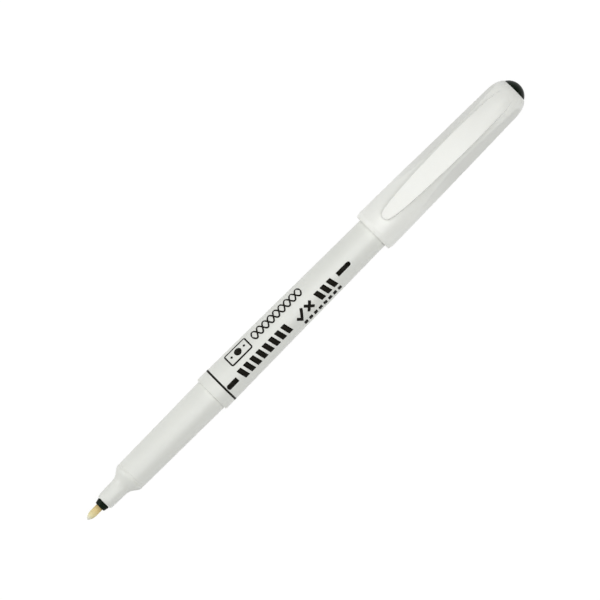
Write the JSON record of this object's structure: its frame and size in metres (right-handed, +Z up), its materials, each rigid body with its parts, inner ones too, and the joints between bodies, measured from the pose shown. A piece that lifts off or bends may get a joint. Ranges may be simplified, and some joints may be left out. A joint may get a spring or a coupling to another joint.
{
  "type": "counterfeit detector pen",
  "caption": "Slim round fibre-tip banknote testing pen, its clip cap pushed onto the tail, with a stepped neck, smooth grip and domed end plug.",
  "frame": {"origin": "centre of the pen's length and width, at the lowest point of the cap", "axes": "+X from the nib to the capped tail, +Z up through the clip"},
  "size_m": [0.1534, 0.0118, 0.0132],
  "materials": {
    "nib_fibre": "dry porous fibre",
    "holder_plastic": "satin",
    "grip_plastic": "satin",
    "barrel_plastic": "satin",
    "reservoir_fibre": "felted fibre",
    "film_plastic": "thin wrap",
    "liner_plastic": "natural polyethylene",
    "cap_plastic": "satin",
    "plug_plastic": "semi-gloss",
    "clip_plastic": "satin",
    "print_ink": "pad-printed ink"
  },
  "bodies": {
    "pen_body": {"nib": "nib_fibre", "nib_holder": "holder_plastic", "front_section": "grip_plastic", "barrel": "barrel_plastic", "ink_reservoir": "reservoir_fibre", "reservoir_film": "film_plastic"},
    "cap_core": {"inner_cap": "liner_plastic"},
    "cap_body": {"cap_shell": "cap_plastic", "cap_plug": "plug_plastic"},
    "clip_leaf": {"clip": "clip_plastic"}
  },
  "joints": [
    {"name": "cap_slide", "type": "slide", "parent": "pen_body", "child": "cap_core", "axis": [1, 0, 0], "range_m": [0, 0.03]},
    {"name": "cap_turn", "type": "hinge", "parent": "cap_core", "child": "cap_body", "pos_m": [0.02445, 0, 0.0059], "axis": [1, 0, 0], "continuous": true},
    {"name": "clip_flex", "type": "hinge", "parent": "cap_body", "child": "clip_leaf", "pos_m": [0.07095, 0, 0.0107], "axis": [0, 1, 0], "range_deg": [0, 4], "stiffness_Nm_per_rad": 0.6}
  ]
}
